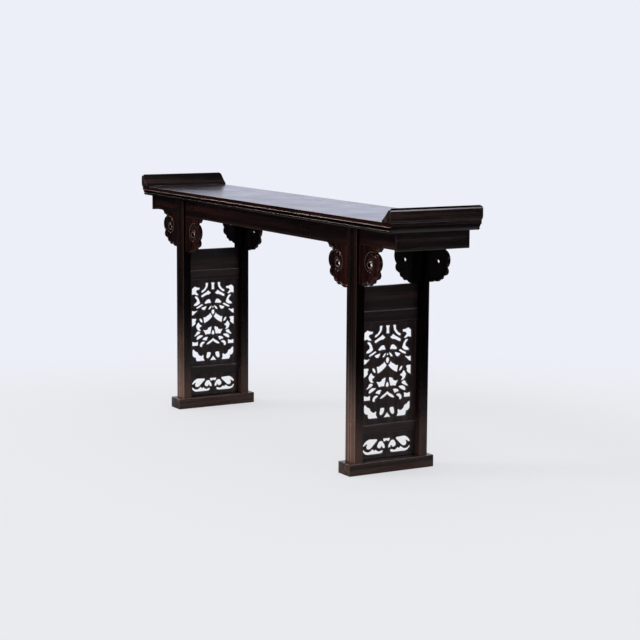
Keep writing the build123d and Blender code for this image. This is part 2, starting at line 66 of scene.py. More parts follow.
def linear(hex_colour):
    """sRGB hex to linear RGBA: a low channel is divided by 12.92, a high one raised to 2.4."""
    channels = np.array([int(hex_colour[i:i + 2], 16) / 255 for i in (1, 3, 5)])
    low = channels / 12.92
    high = ((channels + 0.055) / 1.055) ** 2.4
    return (*np.where(channels <= 0.04045, low, high), 1.0)


def box_mm(node):
    """Lowest and highest corner of a CAD piece, in millimetres."""
    low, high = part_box(node)
    return np.array(low) / MM, np.array(high) / MM


def add_object(name, data):
    """A new object, linked to the scene."""
    made = bpy.data.objects.new(name, data)
    bpy.context.scene.collection.objects.link(made)
    return made


def raised(x, y, rise):
    """The flat direction x, y raised above the horizon by an angle, one long."""
    return np.append(np.array([x, y]) / math.hypot(x, y) * math.cos(rise), math.sin(rise))


def stand(thing, backward, place=(0, 0, 0), roll=0.0):
    """Puts an object in its place, looking away from backward, level but for its roll."""
    level = np.cross([0, 0, 1], backward)
    level /= np.linalg.norm(level)
    upright = np.cross(backward, level)
    right = math.cos(roll) * level + math.sin(roll) * upright
    up = math.cos(roll) * upright - math.sin(roll) * level
    matrix = np.eye(4)
    matrix[:3] = np.stack([right, up, backward, place], axis=1)
    thing.matrix_world = Matrix(matrix.tolist())


def empty_tree(owner):
    """The node tree of a world or a material, with nothing in it."""
    owner.use_nodes = True
    owner.node_tree.nodes.clear()
    return owner.node_tree


def add_node(tree, kind, values):
    """Adds a shader node; a socket is linked to the input, any other value is set."""
    made = tree.nodes.new("ShaderNode" + kind)
    for key, value in values.items():
        if isinstance(value, bpy.types.NodeSocket):
            tree.links.new(value, made.inputs[key])
        elif isinstance(key, str) and hasattr(made, key):
            setattr(made, key, value)
        else:
            made.inputs[key].default_value = value
    return made


def ramp(tree, value, low, high, to_low=0.0, to_high=1.0, kind="LINEAR"):
    """Stretches the range from low to high to the range from to_low to to_high."""
    return add_node(tree, "MapRange", {
        "interpolation_type": kind, "Value": value, "From Min": low, "From Max": high,
        "To Min": to_low, "To Max": to_high}).outputs["Result"]


def mix_colours(tree, share, first, second):
    """The first colour where share is 0, the second where it is 1."""
    return add_node(tree, "Mix", {"data_type": "RGBA", 0: share, 6: first, 7: second}).outputs[2]


def mix_shaders(tree, share, first, second):
    """The first shader where share is 0, the second where it is 1."""
    return add_node(tree, "MixShader", {0: share, 1: first, 2: second}).outputs[0]


def shader(tree, kind, colour, **more):
    """A matt surface, an emission or a background of one colour."""
    return add_node(tree, kind, {"Color": colour, **more}).outputs[0]


def maths(tree, operation, first, second, kind="VectorMath"):
    """The outputs of an operation on two vectors, or on two numbers where kind is Math."""
    return add_node(tree, kind, {"operation": operation, 0: first, 1: second}).outputs


print("white is", linear("#ffffff"))

# %% [markdown]
# ## Where the viewer stands
# The table is seen from beyond its front right corner, a little above the top. The camera is placed by
# the turn round the table, the rise above the horizon, a slight roll and the distance to a point near
# the table's middle. A long lens from far away keeps the verticals nearly upright.

# %% Camera
look_at = np.array([0.0703, 0.0735, 0.4257])
view_turn, view_rise, view_roll = np.radians([59.9428, 8.2611, 0.3961])
view_distance = 6.3566
lens_mm, sensor_mm = 99.02, 36

camera_data = bpy.data.cameras.new("viewer")
camera_data.sensor_width = sensor_mm
camera_data.lens = lens_mm
camera = add_object("viewer", camera_data)
backward = raised(math.sin(view_turn), -math.cos(view_turn), view_rise)
place = look_at + view_distance * backward
stand(camera, backward, place, view_roll)
bpy.context.scene.camera = camera
bpy.context.scene.view_settings.view_transform = "Standard"
print("camera stands at", place.round(3))

# %% [markdown]
# ## The studio
# Dark polished wood shows what stands round it more than it shows its own colour. So the studio is
# built for the polish: a white backdrop behind the table lies in the gloss of the top, a small soft
# box on the left and another on the right draw the bright lines on the rounded edges, and two warm,
# dim patches of floor in front lie in the gloss of the legs. The rest of the room is dark. What the
# wood scatters comes from a fill that is strongest from the front left, and from one soft lamp there.
# The eye itself sees only an even, pale floor and wall, which Light Path's camera ray gives without
# any more light on the table.

# %% World
wall_colour = linear("#edeff8")
room_colour = linear("#26262b")
fill_colour = linear("#f9f8f8")
fill_from = (-0.60, -0.75, 0.28)
fill_weak, fill_strong = 0.3, 1.2

# Each light in the polish: direction, inner and outer angle in degrees, colour, strength.
polish_lights = [
    ((-0.80, 0.60, 0.05), 22, 46, "#e7ebff", 1.12),
    ((-0.86, -0.16, 0.49), 3, 6.5, "#fff1ea", 24.0),
    ((0.82, 0.475, 0.31), 4, 9, "#f4f4ff", 13.0),
]

world = bpy.data.worlds.new("studio")
bpy.context.scene.world = world
tree = empty_tree(world)
rays = add_node(tree, "LightPath", {}).outputs
direction = add_node(tree, "TexCoord", {}).outputs["Generated"]


def along_ray(towards):
    """Dot product of the ray's direction and another one: the cosine between them."""
    return maths(tree, "DOT_PRODUCT", direction, towards)["Value"]


in_polish = room_colour
for towards, inner, outer, colour, strength in polish_lights:
    unit = np.array(towards) / np.linalg.norm(towards)
    lit = [channel * strength for channel in linear(colour)[:3]] + [1]
    nearness = ramp(tree, along_ray(unit.tolist()), *np.cos(np.radians([outer, inner])),
                    kind="SMOOTHSTEP")
    in_polish = mix_colours(tree, nearness, in_polish, lit)
fill = ramp(tree, along_ray(fill_from), -1.0, 1.0, fill_weak, fill_strong)
lighting = mix_shaders(tree, rays["Is Glossy Ray"],
                       shader(tree, "Background", fill_colour, Strength=fill),
                       shader(tree, "Background", in_polish))
everything = mix_shaders(tree, rays["Is Camera Ray"], lighting,
                         shader(tree, "Background", wall_colour))
add_node(tree, "OutputWorld", {"Surface": everything})
print("fill", fill_weak, "to", fill_strong, "and", len(polish_lights), "lights in the polish")

# %% Floor
floor_radius, floor_sides = 14.0, 96
# Seen by the eye: matt paint, evened out by some light of its own, and the wall beyond it.
floor_colour, even_colour, even_share = linear("#eeeff2"), linear("#eeeff3"), 0.68
# Seen in the polish: a grey pool under the table, dark floor beyond, two patches in front.
pool_colour, dark_floor_colour = linear("#b2b2b6"), linear("#1c1c20")
patch_colour, patch_strength = linear("#ffe6da"), 0.6
# What the floor throws back on the wood.
shaded_floor_colour = linear("#8e8e90")
# Each ring: its middle, where it begins and ends in metres from there, and the squeeze of x.
wall_ring = ((1.04, -0.6, 0.0), 1.9, 3.3)
pool_ring = ((0.0, 0.0, 0.0), 1.3, 2.2)
patch_ring = ((-0.45, -0.6, 0.0), 0.2, 0.36, 0.27)
near_ring = ((0.60, -0.40, 0.0), 0.1, 0.34)

turn = np.linspace(0, 2 * np.pi, floor_sides, endpoint=False)
rim = np.stack([np.cos(turn), np.sin(turn), 0 * turn], axis=1) * floor_radius
floor_mesh = bpy.data.meshes.new("floor")
floor_mesh.from_pydata(rim.tolist(), [], [list(range(len(rim)))])
floor = add_object("floor", floor_mesh)

# A painted studio floor: matt and even, so it has no gloss of its own.
paint = bpy.data.materials.new("matt_floor_paint")
tree = empty_tree(paint)
rays = add_node(tree, "LightPath", {}).outputs
on_floor = add_node(tree, "TexCoord", {}).outputs["Object"]


def ring(middle, inner, outer, squeeze=1.0):
    """0 within inner metres of a point on the floor, 1 beyond outer; squeeze scales x first."""
    squeezed = maths(tree, "MULTIPLY", on_floor, (squeeze, 1, 1))[0]
    centre = (middle[0] * squeeze, middle[1], middle[2])
    away = maths(tree, "DISTANCE", squeezed, centre)["Value"]
    return ramp(tree, away, inner, outer, kind="SMOOTHSTEP")


pool = mix_colours(tree, ring(*pool_ring), pool_colour, dark_floor_colour)
outside = maths(tree, "MULTIPLY", ring(*patch_ring), ring(*near_ring), "Math")[0]
shown_in_polish = mix_shaders(tree, outside,
                              shader(tree, "Emission", patch_colour, Strength=patch_strength),
                              shader(tree, "BsdfDiffuse", pool))
evened = mix_shaders(tree, even_share, shader(tree, "BsdfDiffuse", floor_colour),
                     shader(tree, "Emission", even_colour))
to_the_eye = mix_shaders(tree, ring(*wall_ring), evened, shader(tree, "Emission", wall_colour))
to_the_wood = mix_shaders(tree, rays["Is Glossy Ray"],
                          shader(tree, "BsdfDiffuse", shaded_floor_colour), shown_in_polish)
look = mix_shaders(tree, rays["Is Camera Ray"], to_the_wood, to_the_eye)
add_node(tree, "OutputMaterial", {"Surface": look})
floor_mesh.materials.append(paint)
print("floor", floor_radius * 2, "m across")

# %% Lamp
lamp_axis = raised(-0.47, -0.88, math.radians(36))
lamp_data = bpy.data.lights.new("soft_lamp", "SUN")
lamp_data.energy = 0.6
lamp_data.angle = math.radians(16)
lamp_data.color = linear("#fff7f0")[:3]
lamp = add_object("soft_lamp", lamp_data)
stand(lamp, lamp_axis)
print("lamp shines from", lamp_axis.round(2))

# %% [markdown]
# ## The timber
# The wood is a dense, oily rosewood, nearly black where it is oldest. It was scraped, waxed and
# rubbed until the pores closed. The eye gets three things from that: a deep red-brown that only shows
# where light falls straight on it, long darker and lighter streaks that follow the grain, and a soft
# gloss. Hands and cloths have worn the arrises a little paler, which the meshes note in a point
# attribute. The same attribute also carries light painted into the wood. Above zero it also paints
# highlights and reflections paler in some places. Below zero it is painted shade, which darkens the
# wood and dulls its gloss.

# %% Wood
GRAIN_STRETCH = 34
WAX_IOR = 1.45


def polished_wood(name, grain, shift, roughness, palette):
    """Streaked timber; grain is the axis of the streaks and shift moves them."""
    dark, streak, worn_and_painted_light = map(linear, palette)
    material = bpy.data.materials.new(name)
    tree = empty_tree(material)
    place = add_node(tree, "TexCoord", {}).outputs["Object"]
    along = [1 / GRAIN_STRETCH if axis == grain else 1 for axis in "xyz"]
    grained = add_node(tree, "Mapping", {"Location": (shift, shift, shift), "Scale": along,
                                         "Vector": place}).outputs[0]

    def noise(vector, values):
        return add_node(tree, "TexNoise", {**values, "Vector": vector}).outputs["Fac"]

    def scaled(colour, factor):
        return add_node(tree, "VectorMath", {"operation": "SCALE", 0: colour,
                                             "Scale": factor}).outputs[0]

    def times(first, second, clamp):
        return add_node(tree, "Math", {"operation": "MULTIPLY", "use_clamp": clamp,
                                       0: first, 1: second}).outputs[0]

    # Streaks 25 mm apart, fine lines 2.5 mm apart (real pores are finer, too fine to show).
    streaks = noise(grained, {"Scale": 40, "Detail": 4, "Roughness": 0.6, "Distortion": 0.1})
    pores = noise(grained, {"Scale": 400, "Detail": 2, "Roughness": 0.7})
    clouds = noise(place, {"Scale": 7, "Detail": 3})
    timber = mix_colours(tree, ramp(tree, streaks, 0.42, 0.68), dark, streak)
    lined = scaled(timber, ramp(tree, pores, 0.35, 0.6, 0.45))
    # Above zero the point attribute mixes in the third colour: real wear on the arrises, and painted
    # highlights and painted reflections elsewhere. Below zero it is painted shade, which darkens the
    # colour and dulls the gloss.
    wear_and_painted_light = add_node(tree, "Attribute", {"attribute_name": "wear_and_painted_light"}).outputs["Fac"]
    colour = mix_colours(tree, times(wear_and_painted_light, clouds, True), lined, worn_and_painted_light)
    painted_shade = ramp(tree, wear_and_painted_light, -1.0, 0.0, 0.1)
    bump = add_node(tree, "Bump", {"Strength": 0.12, "Distance": 0.3 * MM, "Height": pores})
    surface = add_node(tree, "BsdfPrincipled", {
        "IOR": WAX_IOR, "Base Color": scaled(colour, painted_shade),
        "Roughness": ramp(tree, clouds, 0.3, 0.7, roughness - 0.02, roughness + 0.05),
        "Specular IOR Level": times(painted_shade, 0.5, False), "Normal": bump.outputs["Normal"]})
    add_node(tree, "OutputMaterial", {"Surface": surface.outputs[0]})
    return material


# Each palette: the dark wood, its paler streaks, and the colour where the point attribute is above
# zero: worn arrises, and painted highlights and painted reflections.
red = ("#180a09", "#45221e", "#7c5448")
# cloud: the red wood with a pale third colour, for the painted highlights on the front spandrels.
cloud = (*red[:2], "#c8a89c")
warm = ("#190c0a", "#40201a", "#8a5f50")
# dusky: its pale third colour paints the lower legs as if they reflected the lit floor, a painted
# reflection.
dusky = ("#150b0a", "#301a16", "#b08878")
black = ("#110b0b", "#241616", "#4c4242")
# The next palette is a lighter, greyer copy of the rosewood for the end members, flanges and end
# aprons: painted light, for the dull grey their sides show away from the lamp.
ends_palette_painted_light = ("#1d1718", "#4e3b38", "#7a6560")
brown = ("#1f1617", "#463231", "#6e5a56")
tan = ("#241917", "#64493e", "#8a6c60")
raw = ("#3a2a22", "#5a4232", "#6a5040")
# Each finish: its key, then what polished_wood takes.
finishes = {
    key: polished_wood(*values) for key, *values in (
        ("top", "rosewood_table_top", "x", 0.0, 0.18, black),
        ("long", "rosewood_long_moulding", "x", 0.7, 0.18, warm),
        # The pieces at the ends take the lighter, greyer palette: painted light.
        ("end", "rosewood_end_moulding", "y", 1.3, 0.18, ends_palette_painted_light),
        ("flange", "rosewood_everted_end", "y", 2.1, 0.18, ends_palette_painted_light),
        ("apron", "rosewood_apron", "x", 3.9, 0.28, red),
        ("apron_end", "rosewood_end_apron", "y", 4.4, 0.24, ends_palette_painted_light),
        ("leg", "rosewood_leg", "z", 5.2, 0.24, dusky),
        ("spandrel", "rosewood_spandrel", "z", 6.8, 0.1, cloud),
        # The back spandrels take a darker, rougher copy of the spandrel finish: painted shade.
        ("spandrel_back", "rosewood_dark_spandrel", "z", 6.8, 0.25, black),
        ("rail", "rosewood_rail", "y", 7.7, 0.3, brown),
        ("carving", "rosewood_carving", "z", 8.6, 0.32, brown),
        ("shoe", "rosewood_shoe", "y", 9.3, 0.3, tan),
        ("batten", "unpolished_batten", "y", 10.1, 0.6, raw),
    )
}
print(len(finishes), "finishes")

# %% [markdown]
# ## Turning points into pieces
# Each piece is drawn as arrays of points. One function makes the mesh, checks that its faces look
# outward by the sign of its volume, gives it its finish, hangs it under the root body and hides the
# CAD piece that it stands for.


def triangles_of(mesh):
    """The mesh's triangles, as rows of three point numbers."""
    mesh.calc_loop_triangles()
    triangles = np.empty(len(mesh.loop_triangles) * 3, np.int32)
    mesh.loop_triangles.foreach_get("vertices", triangles)
    return triangles.reshape(-1, 3)


def add_piece(name, points, faces, finish, wear_and_painted_light, flat_from=None, crease=38):
    """Closed mesh from points in millimetres.

    Faces from flat_from on keep flat shading, and so does every edge that turns by more than the
    crease, in degrees.
    """
    mesh = bpy.data.meshes.new(name)
    mesh.from_pydata((points * MM).tolist(), [], faces)
    a, b, c = points[triangles_of(mesh)].transpose(1, 0, 2)
    if np.einsum("ij,ij->", a, np.cross(b, c)) < 0:
        mesh.flip_normals()
    smooth = np.ones(len(faces), bool)
    smooth[len(faces) if flat_from is None else flat_from:] = False
    mesh.polygons.foreach_set("use_smooth", smooth)
    mesh.set_sharp_from_angle(angle=math.radians(crease))
    attribute = mesh.attributes.new("wear_and_painted_light", "FLOAT", "POINT")
    attribute.data.foreach_set("value", wear_and_painted_light.astype(np.float32))
    mesh.materials.append(finishes[finish])
    piece = add_object(name, mesh)
    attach(piece, "root")
    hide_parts(name)
    return piece


def skin(name, rings, finish, wear_and_painted_light):
    """Rings of points joined into a closed surface.

    rings[i, j] is point j of ring i. Each point is joined to its neighbour in the ring and to the
    same point of the next ring, and the first and the last ring are filled with flat faces.
    """
    count, around = rings.shape[:2]
    i, j = np.meshgrid(np.arange(count - 1), np.arange(around), indexing="ij")
    following = (j + 1) % around
    quads = np.stack([i * around + j, i * around + following,
                      (i + 1) * around + following, (i + 1) * around + j], axis=-1)
    faces = quads.reshape(-1, 4).tolist()
    flat_from = len(faces)
    faces.append(list(range(around))[::-1])
    faces.append(list(range((count - 1) * around, count * around)))
    return add_piece(name, rings.reshape(-1, 3), faces, finish, wear_and_painted_light.reshape(-1), flat_from)


# %% [markdown]
# ## Eased corners
# No corner that leaves a workshop is sharp: a plane or a scraper takes it off, and years of cloths
# round it further. A profile here is a list of corners, each with its own easing. Every eased corner
# turns into a short curve with one guard point on each side, which keeps the flats truly flat when
# the surface is shaded smooth.

# %% Eased profiles
EASE_STEPS = np.linspace(0, 1, 5)
GUARD, GUARD_LIMIT = 0.8, 0.49


def signed_area(outline):
    """Twice the area of a closed outline; it is positive if the points run anticlockwise."""
    x, y = outline.T
    return np.sum(x * np.roll(y, -1) - np.roll(x, -1) * y)


def eased(corners):
    """A closed outline of corners (x, y, easing), rounded.

    The rounding is the curve (1-t)^2 A + 2t(1-t) C + t^2 B, where C is the corner and A and B lie on
    its two sides, as far away as the easing. A corner with no easing stays one plain point. Returns
    the points and, for each one, how much wear it gets: 4t(1-t), so most in the middle of the curve.
    """
    corners = np.asarray(corners, float)
    corner, easing = corners[:, :2], corners[:, 2]
    sides = np.stack([np.roll(corner, 1, axis=0), np.roll(corner, -1, axis=0)]) - corner
    length = np.linalg.norm(sides, axis=2)
    sides /= length[..., None]
    plain = easing <= 0
    guard = np.where(plain, 0, np.minimum(easing + GUARD, GUARD_LIMIT * length.min(axis=0)))
    t = EASE_STEPS[None, :, None]
    a, b = (corner + sides * easing[:, None])[:, :, None]
    curve = (1 - t) ** 2 * a + 2 * t * (1 - t) * corner[:, None] + t ** 2 * b
    before, after = (corner + sides * guard[:, None])[:, :, None]
    points = np.concatenate([before, curve, after], axis=1)
    to_last, to_next = sides
    turn = to_last[:, 1] * to_next[:, 0] - to_last[:, 0] * to_next[:, 1]
    convex = np.where(plain, 0, np.sign(turn * signed_area(corner)) > 0)
    worn_and_painted_light = 4 * EASE_STEPS * (1 - EASE_STEPS)
    wear_and_painted_light = np.concatenate([[0], worn_and_painted_light, [0]])[None, :] * convex[:, None]
    keep = np.ones(points.shape[:2], bool)
    keep[plain, 1:] = False
    return points[keep], wear_and_painted_light[keep]


def arc(start, end, bow, steps=7):
    """Points of an arc; its middle stands bow to the left of the line from start to end.

    A bow below zero stands to the right. The circle through both ends has the radius
    (c^2 / 4 + bow^2) / (2 bow) for a chord of length c.
    """
    start, end = np.asarray(start, float), np.asarray(end, float)
    chord = end - start
    length = np.linalg.norm(chord)
    left = np.array([-chord[1], chord[0]]) / length
    radius = (length ** 2 / 4 + bow ** 2) / (2 * bow)
    half = math.asin(min(1, length / 2 / abs(radius)))
    swing = np.linspace(-half, half, steps)[:, None]
    centre = (start + end) / 2 + left * (bow - radius)
    return centre + np.sin(swing) * chord / length * abs(radius) + np.cos(swing) * left * radius


def with_easing(points, easing=0.0):
    """The same points with one easing for all of them, or one for each."""
    return np.column_stack([points, np.full(len(points), easing)])


def outward_normals(outline):
    """Unit normals of a closed outline, from the line between each point's neighbours."""
    tangent = np.roll(outline, -1, axis=0) - np.roll(outline, 1, axis=0)
    tangent /= np.maximum(np.linalg.norm(tangent, axis=1), 1e-9)[:, None]
    return np.stack([tangent[:, 1], -tangent[:, 0]], axis=1) * np.sign(signed_area(outline))


print("a corner becomes", len(EASE_STEPS) + 2, "points")

# %% [markdown]
# ## Bars and boards
# Most of the table is bars: a profile carried along a straight line. Near each end the profile
# shrinks by a quarter circle, so that the end is eased as the long edges are.

# %% Carry a profile along a line
AXES = {"x": (1, 2, 0), "y": (0, 2, 1), "z": (0, 1, 2)}


def bar(name, axis, corners, start, end, finish, end_ease=1.0, between=(), light_painting=None):
    """A profile carried along an axis, with more stations between its ends where they are given.

    Ring by ring, the distance from the end is e(1 - cos a) while the profile stands in by
    e(1 - sin a), for a from 0 to 90 degrees; between the ends the profile is whole. The last
    argument, where it is given, turns the points and the edges' values into the point attribute of
    the whole piece, with painted reflections and painted shade.
    """
    outline, worn_and_painted_light = eased(corners)
    normals = outward_normals(outline)
    swing = np.radians([0, 30, 60, 90])
    run = np.append(end_ease * (1 - np.cos(swing)), end_ease + GUARD)
    inset = np.append(end_ease * (1 - np.sin(swing)), 0)
    end_wear = np.append(np.sin(2 * swing), 0)

    def at_both_ends(values):
        return np.concatenate([values, np.zeros(len(between)), values[::-1]])[:, None]

    stations = np.concatenate([start + run, between, (end - run)[::-1]])
    rings = np.empty((len(stations), len(outline), 3))
    across, up, along = AXES[axis]
    rings[:, :, [across, up]] = outline - normals * at_both_ends(inset)[:, :, None]
    rings[:, :, along] = stations[:, None]
    wear_and_painted_light = np.maximum(worn_and_painted_light, at_both_ends(end_wear))
    if light_painting is not None:
        wear_and_painted_light = light_painting(rings, wear_and_painted_light)
    return skin(name, rings, finish, wear_and_painted_light)


def block_corners(low, high, axis, easing):
    """Four corners of a box seen along an axis, with one easing for all or one for each."""
    across, up, _ = AXES[axis]
    corners = [(low[across], low[up]), (high[across], low[up]),
               (high[across], high[up]), (low[across], high[up])]
    return with_easing(corners, easing)


print("axes:", list(AXES))

# %% [markdown]
# ## The top frame
# The four members of the frame are mitred, and one moulding runs round all of them: an upright band,
# and under it a round that falls back to the underside. On the long members the plough also cut a
# deep, square groove, with a small fillet above it and a full bead below. A profile is drawn as the
# distance in from the outer face and the height above the underside, and its ends are cut at 45
# degrees: every point stops as far short of the corner as it lies in from the face. The groove and the
# underside are painted darker, and the top of the band a little: painted shade, which also dulls the
# gloss there.

# %% Frame
frame_low, frame_high = box_mm("frame_front")
half_length, half_depth = box_mm("frame_right")[1][0], -frame_low[1]
frame_width = frame_high[1] - frame_low[1]
frame_under, frame_top = frame_low[2], frame_high[2]
thick = frame_top - frame_under
round_high, round_bow, band_step, underside_in = 23, 3, 2, 12
bead_high, bead_in = 12.0, 7.5
brow_in, brow_low, brow_high = 3.9, 6.0, 10.4
groove_in, groove_low, groove_high = 8.0, 14.0, 18.5
fillet_high, fillet_step = 20.5, 0.45
top_ease, mitre_gap, mitre_easing = 1.2, 0.2, 0.4
member_stations = 40
# How dark the groove, the underside and the top of the band are painted: painted shade.
groove_painted_shade, underside_painted_shade, band_painted_shade = -1, -0.8, -0.3
dark_in, past_edge, underside_shade_to, band_shade_high, band_shade_in = 6.8, 1, 5.5, 6, 3

inner_foot, inner_top = (frame_width, 0, 0.4), (frame_width, thick, 0.4)
plain_moulding = np.concatenate([
    [inner_foot],
    with_easing(arc((underside_in, 0), (band_step, round_high - 0.4), round_bow, 13)),
    [(0, round_high, 0.8), (0, thick, top_ease), inner_top],
])
grooved_moulding = np.concatenate([
    [inner_foot],
    with_easing(arc((bead_in + 0.5, 0), (brow_in, brow_low), 1.2, 9)),
    with_easing(arc((brow_in, brow_low), (bead_in - 0.2, brow_high), 0.3, 9)[1:]),
    [(bead_in, bead_high, 0.2), (groove_in, groove_low, 0.4), (groove_in, groove_high, 0.6),
     (0, groove_high, 0.8), (0, fillet_high, 0.2), (fillet_step, fillet_high + fillet_step, 0.2),
     (fillet_step, thick, top_ease), inner_top],
])


def frame_member(name, side_x, side_y):
    """One mitred member, carried between its two mitre planes and eased at both joints."""
    lengthwise = side_x == 0
    outline, worn_and_painted_light = eased(grooved_moulding if lengthwise else plain_moulding)
    normals = outward_normals(outline)
    reach = half_length if lengthwise else half_depth
    share = np.pad(np.linspace(-1, 1, member_stations), 1, mode="edge")[:, None]
    shrink = np.pad(np.zeros(member_stations), 1, constant_values=mitre_gap)[:, None]
    inner, up = (outline - normals * shrink[:, :, None]).transpose(2, 0, 1)
    along = share * (reach - inner - np.where(shrink > 0, 0, mitre_easing))
    out = (half_depth if lengthwise else half_length) - inner
    plan = (along, side_y * out) if lengthwise else (side_x * out, along)
    rings = np.stack([*plan, frame_under + up], axis=-1)
    inward, height = outline.T
    # Painted shade: the groove and the underside of the long members, and the top of the band on every
    # member, are painted darker.
    if lengthwise:
        in_groove = (height > bead_high - past_edge) & (height < groove_high + past_edge)
        worn_and_painted_light = np.where(in_groove & (inward > dark_in), groove_painted_shade, worn_and_painted_light)
        worn_and_painted_light = np.where(height < underside_shade_to, underside_painted_shade, worn_and_painted_light)
    worn_and_painted_light = np.where((inward < band_shade_in) & (height > thick - band_shade_high), band_painted_shade, worn_and_painted_light)
    return skin(name, rings, "long" if lengthwise else "end", np.tile(worn_and_painted_light, (len(share), 1)))


for name, side_x, side_y in (("frame_front", 0, -1), ("frame_back", 0, 1),
                             ("frame_right", 1, 0), ("frame_left", -1, 0)):
    frame_member(name, side_x, side_y)
print("frame", half_length * 2, "by", half_depth * 2, "mm")

# %% [markdown]
# ## Floating panel and battens
# A wide board swells and shrinks across its grain, so it floats in a groove of the frame. What shows
# is a hairline all round. The battens under it stay as the CAD made them; nobody polishes there.

# %% Panel
seam, panel_step = 0.5, 0.1
shown_low = np.array([-half_length + frame_width + seam, -half_depth + frame_width + seam,
                      box_mm("top_panel")[0][2]])
shown_high = np.array([-shown_low[0], -shown_low[1], frame_top - panel_step])
bar("top_panel", "x", block_corners(shown_low, shown_high, "x", 0.6),
    shown_low[0], shown_high[0], "top", 0.6)
for name in ("batten_left", "batten_middle", "batten_right"):
    nodes[name].data.materials.clear()
    nodes[name].data.materials.append(finishes["batten"])
print("panel", (shown_high - shown_low).round(1), "mm")

# %% [markdown]
# ## Everted ends
# Each end of the table turns up in a flange. Its outer side is turned under at the foot, stands
# upright above that, leans in a little near the top and rounds over at the tip. Its two ends stand
# upright from the foot and round in with the tip. It is drawn as level slices: a rectangle with
# eased corners that grows and shrinks with the height. The rounding of the outer tip is painted dark,
# a painted shade that also dulls its gloss. The inner face is painted paler in strips at its tip
# and its foot: painted reflections.

# %% Flanges
flange_high = box_mm("flange_right")[1]
tip = flange_high[2]
proud = flange_high[0] - half_length
neck, turn_high = 3, 8
brow, tip_round, lean, tip_in = 10.5, 5.0, 1.35, 2.2
foot_in, foot_bevel, tip_flat, inner_bow = 48, 4, 5, 2
lean_bow, tip_bow, return_round, slice_ease = 0.12, 0.5, 1.3, 0.8
# Where the painted reflections on the inner face and the painted dark tip lie, and how pale the strips
# are painted.
side_deep, ends_deep, tip_painted_deep, foot_painted_high, inner_painted_reflection = 4.2, 3, 3, 9, 0.35
side_low = frame_top + neck + turn_high

flank = np.concatenate([
    [(0, frame_top)],
    arc((0, frame_top + neck), (proud, side_low), -proud / 4),
    arc((proud, tip - brow), (proud - lean, tip - tip_round), -lean_bow),
    arc((proud - lean, tip - tip_round), (-tip_in, tip - 1.2), -tip_bow, 9)[1:],
    [(-tip_in - 0.8, tip - 0.3), (-tip_in - 1.4, tip)],
])
inner_face = np.concatenate([
    [(foot_in, frame_top), (foot_in, frame_top + foot_bevel)],
    arc((foot_in - foot_bevel, frame_top + 2 * foot_bevel), (tip_flat + 1.2, tip - 1.3), inner_bow, 9),
    [(tip_flat + 0.6, tip - 0.6), (tip_flat, tip - 0.2), (tip_flat - 0.4, tip)],
])


def flange(name, side):
    """Level slices; slice z reaches flank(z) out of the frame and inner_face(z) in from it."""
    height = np.unique(np.concatenate([flank[:, 1], inner_face[:, 1]]).round(2))
    out = np.interp(height, flank[:, 1], flank[:, 0])
    inward = np.interp(height, inner_face[:, 1], inner_face[:, 0])
    swell = np.where(height < side_low, proud, proud - return_round * (proud - out))
    rings, wears_and_painted_light = [], []
    for high, inner, reach, depth in zip(height, half_length - inward, half_length + out,
                                         half_depth + swell):
        plan, worn_and_painted_light = eased(block_corners((inner, -depth), (reach, depth), "z", slice_ease))
        rings.append(np.column_stack([side * plan[:, 0], plan[:, 1], np.full(len(plan), high)]))
        wears_and_painted_light.append(worn_and_painted_light)
    wears_and_painted_light, rings = np.array(wears_and_painted_light), np.array(rings)
    outer_side = np.abs(rings[:, :, 0]) > half_length - side_deep
    ends = np.abs(rings[:, :, 1]) > half_depth - ends_deep
    # Paler strips along the tip and the foot of the inner face: painted reflections.
    light_painting = (height > tip - tip_painted_deep) | (height < frame_top + foot_painted_high)
    wears_and_painted_light += np.where(outer_side | ends, 0, inner_painted_reflection) * light_painting[:, None]
    # The rounding of the outer tip is painted dark: painted shade that also dulls its gloss.
    rounding = height > tip - tip_round + 0.2
    wears_and_painted_light = np.where(outer_side & rounding[:, None], -1, wears_and_painted_light)
    return skin(name, rings, "flange", wears_and_painted_light)


flange("flange_right", 1)
flange("flange_left", -1)
print("flanges reach", half_length + proud, "mm out and", tip, "mm up")

# %% [markdown]
# ## Aprons
# The long aprons are thin boards that pass through the open tops of the legs. Between the legs they
# hang a little lower than outside them, and the step hides behind the leg. A fine bead is worked
# along the lower edge and goes on down the edge of the cloud-shaped spandrels beside each leg, so on
# the apron it stops where a spandrel takes over. The end aprons lap over the ends of the long ones
# and only have an eased lower edge.

# %% Long aprons
apron_low, apron_high = box_mm("apron_front")
leg_low, leg_high = box_mm("leg_front_right")
leg_x = (leg_low[0] + leg_high[0]) / 2
spandrel_reach = box_mm("spandrel_front_right_outer")[1][0] - leg_x
rim_bead, rim_proud, rim_round = 6.0, 1.0, 1.5
rim_vein, rim_vein_at, rim_vein_wide = 0.9, 7.2, 1.2
hang = {"inner": apron_low[2] - 8.5, "outer": apron_low[2] + 3}


def smoothstep(low, high, value):
    """0 below low, 1 above high, and 3t^2 - 2t^3 between them."""
    t = np.clip((value - low) / (high - low), 0, 1)
    return t * t * (3 - 2 * t)


def rim_height(distance):
    """The bead on the rim and the vein inside it, from the distance to the rim.

    The bead is half a wave of cosine, the vein a bell curve, and the edge itself is rounded over.
    """
    bead = rim_proud * np.cos(np.clip((distance / rim_bead - 0.5) * 2, -1, 1) * np.pi / 2)
    vein = -rim_vein * np.exp(-((distance - rim_vein_at) / rim_vein_wide) ** 2)
    edge = np.clip(1 - distance / rim_round, 0, 1)
    return bead + vein - rim_round * (1 - np.sqrt(1 - edge ** 2))


